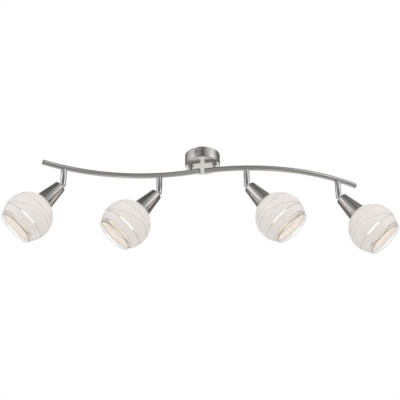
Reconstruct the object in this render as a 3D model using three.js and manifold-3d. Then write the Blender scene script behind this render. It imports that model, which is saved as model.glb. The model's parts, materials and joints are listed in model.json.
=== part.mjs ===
// A ceiling spotlight bar in millimetres, +Z up, hanging from z = 0.
//
// A round canopy holds two slim curved arms on short posts. Each arm carries two chrome stems, and
// each stem ends in a knuckle that tilts a conical cup with a lampholder, a bulb and a glass shade.
// Everything is drawn in the pose in which the arms make a shallow S along X.
import * as THREE from "three";
import { mergeVertices } from "three/addons/utils/BufferGeometryUtils.js";
import Module from "manifold-3d";

const wasm = await Module();
wasm.setup();

// ---------------------------------------------------------------------------------------------
// Driving dimensions
// ---------------------------------------------------------------------------------------------

const GAP = 0.3; // between pieces that touch
const SINK = 0.5; // how far shapes that become one piece reach into each other
const DEGREE = Math.PI / 180;

// Canopy
const CANOPY_R = 40;
const CANOPY_HEIGHT = 26.8;
const CANOPY_WALL = 1.2;
const CANOPY_FLOOR = 1.5;
const CANOPY_EDGE_R = 1.6;
const CANOPY_TURN = -11 * DEGREE; // the line of the two posts, seen from X
const NOTCH_WIDTH = 6.5;
const NOTCH_DEPTH = 9.6;
const NOTCH_LEG_HEIGHT = 5;
const NOTCH_OFFSET = 12.5 * DEGREE; // from the side screw to the middle of the notch
const SIDE_SCREW = { headR: 3.8, headHeight: 2.4, shankR: 1.9, length: 9 };
const SIDE_SCREW_Z = -7.2;

// Bracket inside the canopy
const STRAP_WIDTH = 18;
const STRAP_THICKNESS = 2;
const TAB_FACE_R = 36.5;
const TAB_WIDTH = 22;
const TAB_HEIGHT = 12;
const TAPPED_HOLE_R = 2.2;
const SLOT_CENTRE = 24;
const SLOT_LENGTH = 11;
const SLOT_WIDTH = 5;
const EARTH_SCREW = { headR: 3.4, headHeight: 1.8, shankR: 1.8, length: STRAP_THICKNESS };
const EARTH_SCREW_PLACE = 13.2;

// Terminal block under the bracket
const BLOCK_LENGTH = 26;
const BLOCK_WIDTH = 16;
const BLOCK_HEIGHT = 8.5;
const TERMINAL_PITCH = 8.6;
const TURRET_R = 3.5;
const TURRET_HEIGHT = 3.5;
const TURRET_RECESS_R = 2.2;
const TURRET_RECESS_DEPTH = 2;
const WIRE_BORE_R = 1.7;
const WIRE_BORE_DROP = 5; // from the block's top

// Posts
const POST_SPREAD = 27.5; // from the canopy's axis to each post
const POST_R = 4;
const POST_BORE_R = 2.4;
const POST_TOP_Z = -14;
const COLLAR_R = 6.6;
const COLLAR_HEIGHT = 2;
const COLLAR_CHAMFER = 0.6;
const NUT_FLANGE_R = 8;
const NUT_FLANGE_HEIGHT = 1.2;
const NUT_R = 7.2;
const NUT_HEIGHT = 5;

// Arms
const ARM_R = 6;
const ARM_WALL = 1.2;
const ARM_BEND_R = 425;
const ARM_DROP = 14.1; // from the canopy's underside to the tube's centre line
const ARM_INNER = 21; // from the post to the tube's inner end, along the tube
const ARM_OUTER = 342; // from the post to the tube's outer end, along the tube
const ARM_REST_TURN = { left: -4.7 * DEGREE, right: 0 };
const END_CAP_THICKNESS = 1.2;
const END_CAP_PLUG = 6;
const END_CAP_CHAMFER = 0.5;
const LEAD_R = 1.3;
const LEAD_TAIL = 3; // above the post's top
const LEAD_DROP = 24; // into each stem

// Stems and knuckles
const STEM_PLACES = { inner: 72.7, outer: 292 }; // from the post, along the tube
const STEM_R = 6.7;
const STEM_CHAMFER = 0.5;
const STEM_BORE_R = 2.1;
const PIVOT_DROP = 42.3; // from the tube's centre line to the tilt axis
const FORK_SLOT = 5;
const FORK_SLOT_RISE = 8.6; // from the tilt axis to the top of the slot
const TONGUE_THICKNESS = 4.4;
const TONGUE_R = 6.3;
const TONGUE_NECK_WIDTH = 9;
const STUD_R = 3.6;
const STUD_START = 7;
const STUD_END = 18;
const PIVOT_SCREW_R = 1.7;
const PIVOT_HEAD_R = 3;
const PIVOT_HEAD_HEIGHT = 1.3;
const PIVOT_DRIVE = { length: 4.4, width: 0.8, depth: 0.6 };
const RIVET_R = 2.4;
const RIVET_BORE_R = 1.8;
const RIVET_FLANGE_R = 3.2;
const RIVET_FLANGE_HEIGHT = 1;
const RIVET_FLANGE_Z = -3;
const RIVET_LENGTH = 11;
const HEAD_TILT = 40.5 * DEGREE; // from straight down

// Lamp heads: places along the head's axis are counted from the tilt axis
const CUP_TOP = 8.4;
const CUP_SMALL_R = 13.3;
const CUP_LARGE_R = 21.5;
const CUP_WALL = 1;
const CUP_CEILING = 2; // thickness of the wall across its top
const CUP_EDGE_R = 2.4;
const HOLDER_TOP = 10.7;
const HOLDER_CROWN_R = 6;
const HOLDER_BODY_START = 16;
const HOLDER_BODY_R = 9.4;
const HOLDER_SKIRT_R = 13.2;
const HOLDER_SKIRT_START = 44;
const HOLDER_SKIRT_STEP = 2;
const HOLDER_END = 68;
const HOLDER_SOCKET_R = 7.4;
const HOLDER_SOCKET_START = 36;
const GLOBE_PLACE = 111.3;
const GLOBE_R = 54.9;
const GLASS = 2.6;
const NECK_R = 14.7;
const MOUTH_PLACE = 39.3; // from the globe's centre to the plane of its mouth
const MOUTH_R = 42.6;
const MOUTH_FLARE_START = 33; // from the globe's centre to where the glass leaves the sphere
const RING_R = 19;
const RING_HEIGHT = 5;
const RING_CHAMFER = 1;
const RING_CLEARANCE = 1.5; // from the glass, for a gasket
const BULB_R = 22.5;
const BULB_LENGTH = 53;
const BULB_NECK_R = 7;
const BULB_NECK_ANGLE = 144 * DEGREE; // where the ball meets the neck, seen from its far end
const BULB_WALL = 1.2;
const BULB_CAP_R = 6.8;
const BULB_CAP_LENGTH = 25;
const BULB_CAP_TAPER = 3;
const BULB_TIP_R = 2.4;
const BULB_TIP_HEIGHT = 2.4;

// Sides of turned pieces, and steps along their arcs
const FINE = 36;
const WIDE = 24;
const ROUND = 16;
const SMALL = 12;
const TINY = 10;
const LEAD_SIDES = 6;
const GLOBE_STEPS = { outer: 6, inner: 5 };
const BULB_STEPS = { outer: 5, inner: 4 };
const CUP_EDGE_STEPS = 4;
const CANOPY_EDGE_STEPS = 2;
const ARM_STEPS = 12;
const LEAD_STEPS = 10;

// ---------------------------------------------------------------------------------------------
// Materials
// ---------------------------------------------------------------------------------------------

const finish = (color, metalness, roughness) =>
  new THREE.MeshStandardMaterial({ color, metalness, roughness });
const SATIN_NICKEL = () => finish(0xb3aea8, 1, 0.34);
const CHROME = () => finish(0xdfe1e4, 1, 0.08);
const ZINC = () => finish(0xa9adb0, 1, 0.45);
const BRASS = () => finish(0xb99a55, 1, 0.4);
const WHITE_PLASTIC = () => finish(0xe9e7e1, 0, 0.5);
const LEAD_PLASTIC = () => finish(0xe2e0db, 0, 0.6);
const CERAMIC = () => finish(0xf1eee6, 0, 0.3);
const OPAL = () => finish(0xf5f1ea, 0, 0.25);

// ---------------------------------------------------------------------------------------------
// Shape helpers
// ---------------------------------------------------------------------------------------------

// A closed geometry as a solid that can be joined and cut.
function solid(geometry) {
  const loose = geometry.index ? geometry.toNonIndexed() : geometry;
  const bare = new THREE.BufferGeometry();
  bare.setAttribute("position", loose.getAttribute("position"));
  const merged = mergeVertices(bare, 1e-4);
  const triVerts = new Uint32Array(merged.index.array);
  const vertProperties = merged.attributes.position.array;
  const made = new wasm.Manifold(new wasm.Mesh({ numProp: 3, vertProperties, triVerts }));
  if (made.volume() >= 0) return made;
  return new wasm.Manifold(new wasm.Mesh({ numProp: 3, vertProperties, triVerts: triVerts.reverse() }));
}

// A named mesh made from a solid.
function piece(name, shape, material) {
  const { numProp, vertProperties, triVerts } = shape.getMesh();
  const geometry = new THREE.BufferGeometry();
  geometry.setAttribute("position", new THREE.BufferAttribute(vertProperties, numProp));
  geometry.setIndex(new THREE.BufferAttribute(triVerts, 1));
  geometry.computeVertexNormals();
  const mesh = new THREE.Mesh(geometry, material);
  mesh.name = name;
  return mesh;
}

// A profile of [radius, height] points turned about Z. It closes on itself.
function turned(points, segments) {
  const profile = [...points, points[0]].map(([r, z]) => new THREE.Vector2(r, z));
  return solid(new THREE.LatheGeometry(profile, segments).rotateX(Math.PI / 2));
}

// A cylinder along Z from one height to another.
function rod(radius, low, high, segments = SMALL) {
  return solid(uprightCylinder(radius, high - low, segments).translate(0, 0, (low + high) / 2));
}

// A cylinder along Y from one place to another.
function rodAlongY(radius, low, high, segments = SMALL) {
  const geometry = new THREE.CylinderGeometry(radius, radius, high - low, segments);
  return solid(geometry.translate(0, (low + high) / 2, 0));
}

// A geometry for a cylinder along Z, with its middle at the origin.
function uprightCylinder(radius, length, segments) {
  return new THREE.CylinderGeometry(radius, radius, length, segments).rotateX(Math.PI / 2);
}

// A box between two corners.
function block(low, high) {
  const size = high.map((value, i) => value - low[i]);
  const middle = high.map((value, i) => (value + low[i]) / 2);
  return solid(new THREE.BoxGeometry(...size).translate(...middle));
}

// The solid of a geometry after a move and a turn about Z.
function placed(geometry, x, y, z, turn = 0) {
  return solid(geometry.clone().rotateZ(turn).translate(x, y, z));
}

// Points on an arc of a profile, from one angle to another.
function arcPoints(centreR, centreZ, radius, from, to, steps) {
  const points = [];
  for (let i = 0; i <= steps; i += 1) {
    const angle = from + ((to - from) * i) / steps;
    points.push([centreR + radius * Math.cos(angle), centreZ + radius * Math.sin(angle)]);
  }
  return points;
}

// ---------------------------------------------------------------------------------------------
// Canopy and what is inside it. The posts stand on its local X axis, the side screws on Y.
// ---------------------------------------------------------------------------------------------

const CANOPY_BOTTOM = -CANOPY_HEIGHT;
const FLOOR_TOP = CANOPY_BOTTOM + CANOPY_FLOOR;
const SIDES = { left: -1, right: 1 };

function canopyCup() {
  const innerR = CANOPY_R - CANOPY_WALL;
  const edge = arcPoints(
    CANOPY_R - CANOPY_EDGE_R, CANOPY_BOTTOM + CANOPY_EDGE_R, CANOPY_EDGE_R, -Math.PI / 2, 0,
    CANOPY_EDGE_STEPS);
  const outline = [[0, CANOPY_BOTTOM], ...edge, [CANOPY_R, -GAP], [innerR, -GAP], [innerR, FLOOR_TOP],
    [0, FLOOR_TOP]];
  let cup = turned(outline, FINE);
  for (const side of Object.values(SIDES)) {
    const hole = uprightCylinder(POST_R + GAP, 4 * CANOPY_FLOOR, ROUND);
    cup = cup.subtract(placed(hole, side * POST_SPREAD, 0, CANOPY_BOTTOM));
    cup = cup.subtract(bayonetSlot(side));
  }
  return cup;
}

// An L-shaped slot: an entry from the rim, and a leg along the wall in which the screw sits.
function bayonetSlot(side) {
  const reach = 6 * CANOPY_WALL;
  const entry = new THREE.BoxGeometry(NOTCH_WIDTH, reach, NOTCH_DEPTH * 2);
  const legLength = CANOPY_R * Math.sin(NOTCH_OFFSET);
  const leg = new THREE.BoxGeometry(legLength, reach, NOTCH_LEG_HEIGHT);
  const endR = NOTCH_LEG_HEIGHT / 2;
  const screwHole = new THREE.CylinderGeometry(endR, endR, reach, SMALL);
  const turn = side * Math.PI / 2 - Math.PI / 2;
  const atEntry = (geometry) => solid(geometry.translate(0, -CANOPY_R, 0).rotateZ(turn - NOTCH_OFFSET));
  const cutLeg = leg.translate(-legLength / 2, -CANOPY_R, SIDE_SCREW_Z).rotateZ(turn);
  const cutHole = screwHole.translate(0, -CANOPY_R, SIDE_SCREW_Z).rotateZ(turn);
  return atEntry(entry).add(solid(cutLeg)).add(solid(cutHole));
}

// A steel strap under the ceiling, with a tab at each end for the canopy's side screws.
function ceilingBracket() {
  const half = STRAP_WIDTH / 2;
  const halfTab = TAB_WIDTH / 2;
  const through = 4 * STRAP_THICKNESS;
  let bracket = block([-half, -TAB_FACE_R, -STRAP_THICKNESS], [half, TAB_FACE_R, 0]);
  for (const end of Object.values(SIDES)) {
    const near = end * (TAB_FACE_R - STRAP_THICKNESS);
    const far = end * TAB_FACE_R;
    const tab = block(
      [-halfTab, Math.min(near, far), -TAB_HEIGHT], [halfTab, Math.max(near, far), -STRAP_THICKNESS / 2]);
    const screwHole = new THREE.CylinderGeometry(TAPPED_HOLE_R, TAPPED_HOLE_R, through, SMALL);
    bracket = bracket.add(tab)
      .subtract(placed(screwHole, 0, far, SIDE_SCREW_Z))
      .subtract(slotCut(end * SLOT_CENTRE));
  }
  const earthHole = uprightCylinder(TAPPED_HOLE_R, through, SMALL);
  return bracket.subtract(placed(earthHole, 0, EARTH_SCREW_PLACE, 0));
}

// A slot with round ends through the strap, lying along it.
function slotCut(place) {
  const straight = SLOT_LENGTH - SLOT_WIDTH;
  const through = 4 * STRAP_THICKNESS;
  const end = uprightCylinder(SLOT_WIDTH / 2, through, SMALL);
  const middle = new THREE.BoxGeometry(SLOT_WIDTH, straight, through);
  return placed(end, 0, place - straight / 2, 0)
    .add(placed(end, 0, place + straight / 2, 0))
    .add(placed(middle, 0, place, 0));
}

// A pan-head screw along Z. Its head's inner face is at z = 0 and its shank points to +Z.
function panScrew({ headR, headHeight, shankR, length }) {
  const crownR = 0.72 * headR;
  const rimHeight = 0.45 * headHeight;
  const reach = 0.62 * headR;
  const halfWidth = 0.14 * headR;
  const head = turned(
    [[0, -headHeight], [crownR, -headHeight], [headR, -rimHeight], [headR, 0], [0, 0]], SMALL);
  const drive = (x, y) => block([-x, -y, -2 * headHeight], [x, y, -headHeight / 2]);
  const cross = drive(reach, halfWidth).add(drive(halfWidth, reach));
  return head.subtract(cross).add(rod(shankR, -headHeight / 4, length, TINY));
}

// Three terminals in one moulded body, with wire bores through it and a screw turret on each.
function terminalBlock() {
  const top = -STRAP_THICKNESS - GAP;
  const underside = top - BLOCK_HEIGHT;
  const lowest = underside - TURRET_HEIGHT;
  const halfLength = BLOCK_LENGTH / 2;
  const halfWidth = BLOCK_WIDTH / 2;
  let body = block([-halfLength, -halfWidth, underside], [halfLength, halfWidth, top]);
  for (const place of [-TERMINAL_PITCH, 0, TERMINAL_PITCH]) {
    const turret = rod(TURRET_R, lowest, underside + SINK, TINY);
    const recess = rod(TURRET_RECESS_R, lowest - SINK, lowest + TURRET_RECESS_DEPTH, TINY);
    const bore = rodAlongY(WIRE_BORE_R, -BLOCK_WIDTH, BLOCK_WIDTH, TINY);
    body = body.add(turret.translate(place, 0, 0))
      .subtract(recess.translate(place, 0, 0))
      .subtract(bore.translate(place, 0, top - WIRE_BORE_DROP));
  }
  return body;
}

function postCollar() {
  const top = CANOPY_BOTTOM - GAP;
  const bottom = top - COLLAR_HEIGHT;
  return turned(
    [[POST_R + GAP, bottom], [COLLAR_R - COLLAR_CHAMFER, bottom], [COLLAR_R, bottom + COLLAR_CHAMFER],
      [COLLAR_R, top], [POST_R + GAP, top]], ROUND);
}

// ---------------------------------------------------------------------------------------------
// Arms. Local frame: the post's axis is Z, the tube's centre line starts along +X at z = 0 and
// bends towards +Y.
// ---------------------------------------------------------------------------------------------

const ARM_Z = CANOPY_BOTTOM - ARM_DROP;

// The place and heading on the centre line at a distance from the post along the tube.
function onArm(distance) {
  const angle = distance / ARM_BEND_R;
  const x = ARM_BEND_R * Math.sin(angle);
  const y = ARM_BEND_R * (1 - Math.cos(angle));
  return { x, y, angle };
}

// The centre line from one distance to another, as a path for extrusions.
class ArmPath extends THREE.Curve {
  constructor(from, to) {
    super();
    this.from = from;
    this.to = to;
  }
  getPoint(t, target = new THREE.Vector3()) {
    const { x, y } = onArm(this.from + (this.to - this.from) * t);
    return target.set(x, y, 0);
  }
}

// A round section swept along the centre line. A sweep with an inner radius is a tube.
function sweep(from, to, radius, innerRadius, sides, steps) {
  const section = new THREE.Shape().absarc(0, 0, radius, 0, 2 * Math.PI);
  if (innerRadius) section.holes.push(new THREE.Path().absarc(0, 0, innerRadius, 0, 2 * Math.PI, true));
  const curveSegments = Math.round(sides / 2);
  const extrudePath = new ArmPath(from, to);
  return solid(new THREE.ExtrudeGeometry(section, { steps, curveSegments, extrudePath }));
}

function armTube() {
  let tube = sweep(-ARM_INNER, ARM_OUTER, ARM_R, ARM_R - ARM_WALL, SMALL, ARM_STEPS);
  tube = tube.subtract(rod(POST_BORE_R, 0, 2 * ARM_R));
  for (const place of Object.values(STEM_PLACES)) {
    const { x, y } = onArm(place);
    tube = tube.subtract(rod(RIVET_R + GAP, -2 * ARM_R, 0).translate(x, y, 0));
  }
  return tube;
}

// A hollow post whose foot is shaped to the tube it stands on.
function armPost() {
  const top = POST_TOP_Z - ARM_Z;
  const saddle = new THREE.CylinderGeometry(ARM_R + GAP, ARM_R + GAP, 4 * POST_R, WIDE);
  return rod(POST_R, ARM_R / 2, top, ROUND)
    .subtract(rod(POST_BORE_R, 0, top + SINK))
    .subtract(solid(saddle.rotateZ(Math.PI / 2)));
}

// A hexagon nut with a broad flange, on the canopy's floor.
function postNut() {
  const foot = FLOOR_TOP + GAP - ARM_Z;
  const waist = foot + NUT_FLANGE_HEIGHT;
  return rod(NUT_FLANGE_R, foot, waist, ROUND)
    .add(rod(NUT_R, waist - SINK, waist + NUT_HEIGHT, 6))
    .subtract(rod(POST_R + GAP, foot - SINK, waist + NUT_HEIGHT + SINK, ROUND));
}

// A turned plug for a tube's end. Local +Z points out of the tube.
function endCap() {
  const plugR = ARM_R - ARM_WALL - GAP;
  const face = END_CAP_THICKNESS;
  return turned(
    [[0, -END_CAP_PLUG], [plugR, -END_CAP_PLUG], [plugR, GAP], [ARM_R, GAP],
      [ARM_R, face - END_CAP_CHAMFER], [ARM_R - END_CAP_CHAMFER, face], [0, face]], SMALL);
}

// The insulated lead: down the post, along the tube and down into each stem.
function armLead() {
  const elbow = new THREE.SphereGeometry(LEAD_R, LEAD_SIDES, 4);
  let lead = sweep(0, STEM_PLACES.outer, LEAD_R, 0, LEAD_SIDES, LEAD_STEPS);
  lead = lead.add(rod(LEAD_R, 0, POST_TOP_Z + LEAD_TAIL - ARM_Z, LEAD_SIDES)).add(placed(elbow, 0, 0, 0));
  for (const place of Object.values(STEM_PLACES)) {
    const { x, y } = onArm(place);
    const drop = rod(LEAD_R, -LEAD_DROP, 0, LEAD_SIDES);
    lead = lead.add(drop.translate(x, y, 0)).add(placed(elbow, x, y, 0));
  }
  return lead;
}

// ---------------------------------------------------------------------------------------------
// Stems. Local frame: the swivel axis is Z, the tube's centre line crosses it at z = 0, and the
// head leans towards +X about the tilt axis, which lies along Y.
// ---------------------------------------------------------------------------------------------

function stem() {
  const top = -ARM_R - GAP;
  const slotTop = -PIVOT_DROP + FORK_SLOT_RISE;
  const wide = 2 * STEM_R;
  const chamferR = STEM_R - STEM_CHAMFER;
  const crown = turned(
    [[0, -PIVOT_DROP], [STEM_R, -PIVOT_DROP], [STEM_R, top - STEM_CHAMFER], [chamferR, top], [0, top]],
    ROUND);
  const foot = rod(STEM_R, -PIVOT_DROP - wide, -PIVOT_DROP + SINK, ROUND);
  const roundEnd = rodAlongY(STEM_R, -wide, wide, ROUND).translate(0, 0, -PIVOT_DROP);
  const slot = block([-wide, -FORK_SLOT / 2, -PIVOT_DROP - wide], [wide, FORK_SLOT / 2, slotTop]);
  let made = crown.add(foot.intersect(roundEnd))
    .subtract(slot)
    .subtract(rodAlongY(PIVOT_SCREW_R + GAP, -wide, wide).translate(0, 0, -PIVOT_DROP))
    .subtract(rod(STEM_BORE_R, slotTop - SINK, top + SINK))
    .subtract(rod(RIVET_R + GAP, RIVET_FLANGE_Z - RIVET_LENGTH - GAP, top + SINK));
  for (const side of Object.values(SIDES)) {
    const floor = side * (STEM_R - PIVOT_HEAD_HEIGHT - GAP);
    const recess = rodAlongY(PIVOT_HEAD_R + GAP, Math.min(floor, side * wide), Math.max(floor, side * wide));
    made = made.subtract(recess.translate(0, 0, -PIVOT_DROP));
  }
  return made;
}

// A hollow rivet on which the stem turns. Its flange lies inside the tube.
function swivelRivet() {
  const low = RIVET_FLANGE_Z - RIVET_LENGTH;
  const high = RIVET_FLANGE_Z + RIVET_FLANGE_HEIGHT;
  return turned(
    [[RIVET_BORE_R, low], [RIVET_R, low], [RIVET_R, RIVET_FLANGE_Z], [RIVET_FLANGE_R, RIVET_FLANGE_Z],
      [RIVET_FLANGE_R, high], [RIVET_BORE_R, high]], SMALL);
}

// The screw through the fork: a shank along Y with a sunk head at each end. Local origin on the
// tilt axis.
function pivotScrew() {
  const reach = STEM_R - GAP;
  let made = rodAlongY(PIVOT_SCREW_R, -reach + SINK, reach - SINK, TINY);
  for (const side of Object.values(SIDES)) {
    const ends = [side * (reach - PIVOT_HEAD_HEIGHT), side * reach];
    const drive = [side * (reach - PIVOT_DRIVE.depth), side * (reach + SINK)];
    const halfLength = PIVOT_DRIVE.length / 2;
    const halfWidth = PIVOT_DRIVE.width / 2;
    made = made.add(rodAlongY(PIVOT_HEAD_R, Math.min(...ends), Math.max(...ends))).subtract(
      block([-halfLength, Math.min(...drive), -halfWidth], [halfLength, Math.max(...drive), halfWidth]));
  }
  return made;
}

// ---------------------------------------------------------------------------------------------
// Heads. Local frame: the tilt axis is Y, and +Z runs from it along the head to the shade's mouth.
// ---------------------------------------------------------------------------------------------

function knuckle() {
  const half = TONGUE_THICKNESS / 2;
  const halfNeck = TONGUE_NECK_WIDTH / 2;
  return rodAlongY(TONGUE_R, -half, half, ROUND)
    .add(block([-halfNeck, -half, 0], [halfNeck, half, STUD_START + SINK]))
    .add(rod(STUD_R, STUD_START, STUD_END))
    .subtract(rodAlongY(PIVOT_SCREW_R + GAP, -half - SINK, half + SINK));
}

const CUP_END = GLOBE_PLACE - Math.sqrt(GLOBE_R ** 2 - (CUP_LARGE_R - CUP_WALL) ** 2) - GAP;

function cupRadiusAt(place) {
  return CUP_SMALL_R + ((CUP_LARGE_R - CUP_SMALL_R) * (place - CUP_TOP)) / (CUP_END - CUP_TOP);
}

function coneCup() {
  const bore = STUD_R + GAP;
  const ceiling = CUP_TOP + CUP_CEILING;
  const shoulderZ = CUP_TOP + CUP_EDGE_R;
  const shoulder = arcPoints(
    cupRadiusAt(shoulderZ) - CUP_EDGE_R, shoulderZ, CUP_EDGE_R, -Math.PI / 2, 0, CUP_EDGE_STEPS);
  return turned(
    [[bore, CUP_TOP], ...shoulder, [CUP_LARGE_R, CUP_END], [CUP_LARGE_R - CUP_WALL, CUP_END],
      [cupRadiusAt(ceiling) - CUP_WALL, ceiling], [bore, ceiling]], ROUND);
}

function lampholder() {
  const bore = STUD_R + GAP;
  return turned(
    [[bore, HOLDER_TOP], [HOLDER_CROWN_R, HOLDER_TOP], [HOLDER_CROWN_R, HOLDER_BODY_START],
      [HOLDER_BODY_R, HOLDER_BODY_START], [HOLDER_BODY_R, HOLDER_SKIRT_START - HOLDER_SKIRT_STEP],
      [HOLDER_SKIRT_R, HOLDER_SKIRT_START], [HOLDER_SKIRT_R, HOLDER_END], [HOLDER_SOCKET_R, HOLDER_END],
      [HOLDER_SOCKET_R, HOLDER_SOCKET_START], [bore, HOLDER_SOCKET_START]], ROUND);
}

// The threaded ring that clamps the glass against the cup from inside the shade.
function shadeRing() {
  const innerGlassR = GLOBE_R - GLASS;
  const top = GLOBE_PLACE - Math.sqrt(innerGlassR ** 2 - RING_R ** 2) + RING_CLEARANCE;
  const end = top + RING_HEIGHT;
  const bore = HOLDER_SKIRT_R + GAP;
  return turned(
    [[bore, top], [RING_R, top], [RING_R, end - RING_CHAMFER], [RING_R - RING_CHAMFER, end], [bore, end]],
    ROUND);
}

// The angle from the head's axis, on the mouth's side, at which a sphere has a given radius.
const sphereAngle = (radius, ring) => Math.asin(ring / radius);

// A blown globe with a round neck and a wide mouth whose lip leaves the sphere slightly.
function glassShade() {
  const outerFlare = Math.acos(MOUTH_FLARE_START / GLOBE_R);
  const innerR = GLOBE_R - GLASS;
  const innerFlare = Math.acos(MOUTH_FLARE_START / innerR);
  const profile = [];
  const arc = (radius, from, to, steps) => {
    for (let i = 0; i <= steps; i += 1) {
      const angle = from + ((to - from) * i) / steps;
      profile.push([radius * Math.sin(angle), GLOBE_PLACE + radius * Math.cos(angle)]);
    }
  };
  arc(GLOBE_R, Math.PI - sphereAngle(GLOBE_R, NECK_R), outerFlare, GLOBE_STEPS.outer);
  profile.push([MOUTH_R, GLOBE_PLACE + MOUTH_PLACE]);
  profile.push([MOUTH_R - GLASS, GLOBE_PLACE + MOUTH_PLACE]);
  arc(innerR, innerFlare, Math.PI - sphereAngle(innerR, NECK_R), GLOBE_STEPS.inner);
  return turned(profile, WIDE);
}

// The bulb's envelope: a round drop, open towards its cap.
function bulbGlass() {
  const start = HOLDER_END + GAP;
  const centre = start + BULB_LENGTH - BULB_R;
  const ball = (radius, from, to, steps) => {
    const points = [];
    for (let i = 0; i <= steps; i += 1) {
      const angle = from + ((to - from) * i) / steps;
      points.push([radius * Math.sin(angle), centre + radius * Math.cos(angle)]);
    }
    return points;
  };
  const innerR = BULB_R - BULB_WALL;
  return turned(
    [[BULB_NECK_R, start], ...ball(BULB_R, BULB_NECK_ANGLE, 0, BULB_STEPS.outer),
      ...ball(innerR, 0, BULB_NECK_ANGLE, BULB_STEPS.inner), [BULB_NECK_R - BULB_WALL, start]], SMALL);
}

function bulbCap() {
  const end = HOLDER_END;
  const start = end - BULB_CAP_LENGTH;
  const tip = start - BULB_TIP_HEIGHT;
  return turned(
    [[0, tip], [BULB_TIP_R, tip], [BULB_TIP_R, start], [BULB_CAP_R, start + BULB_CAP_TAPER],
      [BULB_CAP_R, end], [0, end]], SMALL);
}

// ---------------------------------------------------------------------------------------------
// Assembly
// ---------------------------------------------------------------------------------------------

function addHead(parent, number) {
  const head = new THREE.Group();
  head.position.set(0, 0, -PIVOT_DROP);
  head.rotation.y = Math.PI - HEAD_TILT;
  head.add(
    piece(`knuckle_${number}`, knuckle(), CHROME()),
    piece(`cone_cup_${number}`, coneCup(), SATIN_NICKEL()),
    piece(`lampholder_${number}`, lampholder(), CERAMIC()),
    piece(`shade_ring_${number}`, shadeRing(), WHITE_PLASTIC()),
    piece(`glass_shade_${number}`, glassShade(), OPAL()),
    piece(`bulb_glass_${number}`, bulbGlass(), OPAL()),
    piece(`bulb_cap_${number}`, bulbCap(), BRASS()),
  );
  parent.add(head);
}

function addStem(arm, number, place, lean) {
  const { x, y } = onArm(place);
  const group = new THREE.Group();
  group.position.set(x, y, 0);
  group.rotation.z = lean;
  const screw = piece(`pivot_screw_${number}`, pivotScrew(), CHROME());
  screw.position.set(0, 0, -PIVOT_DROP);
  group.add(
    piece(`stem_${number}`, stem(), CHROME()),
    piece(`swivel_rivet_${number}`, swivelRivet(), ZINC()),
    screw,
  );
  addHead(group, number);
  arm.add(group);
}

function addEndCap(arm, name, distance, outwards) {
  const cap = piece(name, endCap(), SATIN_NICKEL());
  const { x, y, angle } = onArm(distance);
  cap.position.set(x, y, 0);
  cap.rotation.order = "ZYX";
  cap.rotation.z = angle;
  cap.rotation.y = (outwards * Math.PI) / 2;
  arm.add(cap);
}

// One arm with its post, nut, lead, caps and two lamps. The heads lean along X, away from the
// canopy, so each stem takes back the arm's own heading.
function addArm(canopy, side, numbers) {
  const sign = SIDES[side];
  const arm = new THREE.Group();
  arm.position.set(sign * POST_SPREAD, 0, ARM_Z);
  arm.rotation.z = ARM_REST_TURN[side] + (sign < 0 ? Math.PI : 0);
  arm.add(
    piece(`arm_tube_${side}`, armTube(), SATIN_NICKEL()),
    piece(`arm_post_${side}`, armPost(), CHROME()),
    piece(`post_nut_${side}`, postNut(), ZINC()),
    piece(`arm_lead_${side}`, armLead(), LEAD_PLASTIC()),
  );
  addEndCap(arm, `end_cap_inner_${side}`, -ARM_INNER, -1);
  addEndCap(arm, `end_cap_outer_${side}`, ARM_OUTER, 1);
  const lean = -(CANOPY_TURN + ARM_REST_TURN[side]);
  addStem(arm, numbers.inner, STEM_PLACES.inner, lean);
  addStem(arm, numbers.outer, STEM_PLACES.outer, lean);
  canopy.add(arm);
}

function addSideScrew(canopy, name, side) {
  const screw = piece(name, panScrew(SIDE_SCREW), CHROME());
  screw.position.set(0, side * (CANOPY_R + GAP), SIDE_SCREW_Z);
  screw.rotation.x = (side * Math.PI) / 2;
  canopy.add(screw);
}

function buildFixture() {
  const fixture = new THREE.Group();
  const canopy = new THREE.Group();
  canopy.rotation.z = CANOPY_TURN;
  const earthScrew = piece("earth_screw", panScrew(EARTH_SCREW), BRASS());
  earthScrew.position.set(0, EARTH_SCREW_PLACE, -STRAP_THICKNESS - GAP);
  canopy.add(
    piece("ceiling_bracket", ceilingBracket(), ZINC()),
    piece("canopy_cup", canopyCup(), SATIN_NICKEL()),
    piece("terminal_block", terminalBlock(), WHITE_PLASTIC()),
    earthScrew,
  );
  for (const [side, sign] of Object.entries(SIDES)) {
    const collar = piece(`post_collar_${side}`, postCollar(), CHROME());
    collar.position.set(sign * POST_SPREAD, 0, 0);
    canopy.add(collar);
  }
  addSideScrew(canopy, "side_screw_front", -1);
  addSideScrew(canopy, "side_screw_back", 1);
  addArm(canopy, "left", { outer: 1, inner: 2 });
  addArm(canopy, "right", { inner: 3, outer: 4 });
  fixture.add(canopy);
  return fixture;
}

export default buildFixture();
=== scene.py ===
"""The looks of a ceiling spotlight bar, in metres.

Every sub-part is drawn in a local frame: the canopy's, an arm's, a stem's or a head's. The joints
say where those frames are. An arm's tube starts along +X from its post and bends towards +Y, a stem
hangs down from z = 0 with its head leaning towards +X, and a head runs along +Z from its tilt axis,
which is Y.
"""
import json
import math

import bmesh
import bpy
from mathutils import Matrix, Vector


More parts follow.
